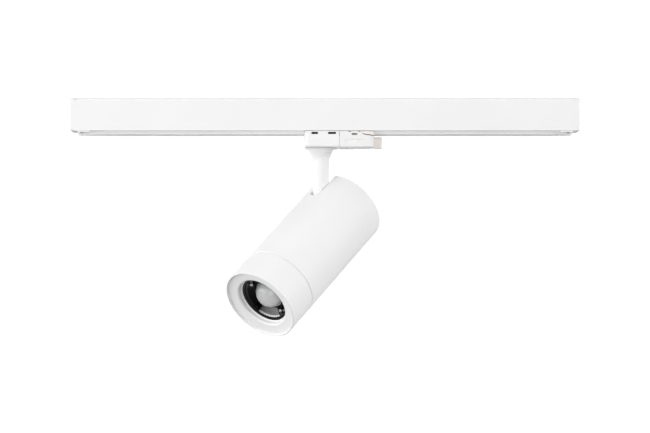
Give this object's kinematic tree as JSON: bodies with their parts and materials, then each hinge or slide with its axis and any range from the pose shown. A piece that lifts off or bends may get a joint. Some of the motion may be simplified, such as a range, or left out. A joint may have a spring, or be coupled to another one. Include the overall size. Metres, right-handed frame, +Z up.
{
  "type": "track spotlight",
  "caption": "Lighting track with a sliding adapter, swivelling stem and tilting cylindrical spotlight with a zoom lens.",
  "frame": {"origin": "centre of the track's top face, which lies against the ceiling", "axes": "+X along the track, +Z up out of the track's top face, +Y to the rear side, away from the lamp's front"},
  "size_m": [0.506, 0.1582, 0.2365],
  "materials": {
    "track_white": "satin",
    "white_coat": "satin",
    "white_plastic": "satin",
    "ivory_plastic": "satin",
    "grey_pvc": "matte",
    "black_plastic": "matte",
    "black_gloss": "gloss",
    "black_anodised": "satin",
    "nylon": "matte",
    "copper": "satin",
    "steel": "satin",
    "raw_aluminium": "satin",
    "phosphor": "matte",
    "circuit_board": "satin",
    "component_black": "matte",
    "lead_insulation": "matte",
    "rubber_seal": "matte",
    "lens_glass": "polished"
  },
  "bodies": {
    "track": {"track_profile": "track_white", "track_insulator_front": "grey_pvc", "track_insulator_rear": "grey_pvc", "track_conductors_front": "copper", "track_conductors_rear": "copper", "end_cap_left": "white_plastic", "end_cap_right": "white_plastic", "end_plates": "white_plastic", "end_cap_screws": "steel"},
    "adapter": {"pan_housing": "white_plastic", "latch_frame": "black_plastic", "adapter_cover": "white_plastic", "adapter_screws": "steel", "adapter_core": "ivory_plastic", "phase_contacts_front": "copper", "phase_contacts_rear": "copper", "earth_contacts": "copper", "selector_frame": "ivory_plastic", "selector_terminals": "copper"},
    "selector": {"circuit_selector": "ivory_plastic", "selector_bridge": "copper"},
    "lever": {"locking_lever": "ivory_plastic", "lever_shaft": "steel", "lock_cam": "steel"},
    "stem": {"stem": "white_coat", "pan_nut": "steel", "pan_washer": "steel", "supply_leads": "lead_insulation"},
    "head": {"housing_tube": "white_coat", "rear_cap": "white_coat", "rear_cap_screws": "steel", "tilt_bracket": "white_coat", "tilt_pin": "steel", "tilt_nut": "steel", "tilt_washers": "nylon", "heat_sink": "raw_aluminium", "led_board": "raw_aluminium", "led_emitter": "phosphor", "led_holder": "white_plastic", "reflector": "raw_aluminium", "led_leads": "lead_insulation", "driver_case": "white_plastic", "driver_board": "circuit_board", "driver_components": "component_black", "optic_tube": "black_anodised"},
    "focus_ring": {"focus_ring": "white_coat", "focus_o_ring": "rubber_seal", "front_bezel": "white_plastic", "glare_cup": "black_gloss"},
    "lens_group": {"lens_carrier": "black_gloss", "follower_pins": "steel", "lens": "lens_glass", "lens_retainer": "black_gloss", "lens_screws": "steel"}
  },
  "joints": [
    {"name": "track_slide", "type": "slide", "parent": "track", "child": "adapter", "axis": [1, 0, 0], "range_m": [-0.209, 0.182]},
    {"name": "lever_turn", "type": "hinge", "parent": "adapter", "child": "lever", "pos_m": [0.037, 0, -0.04], "axis": [0, 0, 1], "range_deg": [0, 90]},
    {"name": "selector_slide", "type": "slide", "parent": "adapter", "child": "selector", "axis": [1, 0, 0], "range_m": [-0.0025, 0.0025]},
    {"name": "pan", "type": "hinge", "parent": "adapter", "child": "stem", "pos_m": [-0.004, 0, -0.049], "axis": [0, 0, 1], "range_deg": [-165, 165]},
    {"name": "tilt", "type": "hinge", "parent": "stem", "child": "head", "pos_m": [-0.004, 0, -0.0973], "axis": [0.7455, -0.6665, 0], "range_deg": [-37.8, 52.2]},
    {"name": "focus_turn", "type": "hinge", "parent": "head", "child": "focus_ring", "pos_m": [-0.0637, -0.06677, -0.20601], "axis": [0.5267, 0.589, 0.6129], "range_deg": [0, 140]},
    {"name": "lens_slide", "type": "slide", "parent": "head", "child": "lens_group", "axis": [0.5267, 0.589, 0.6129], "range_m": [0, 0.014]}
  ],
  "couplings": [
    {"joint": "lens_slide", "follows": "focus_turn", "m_per_rad": 0.005729}
  ]
}
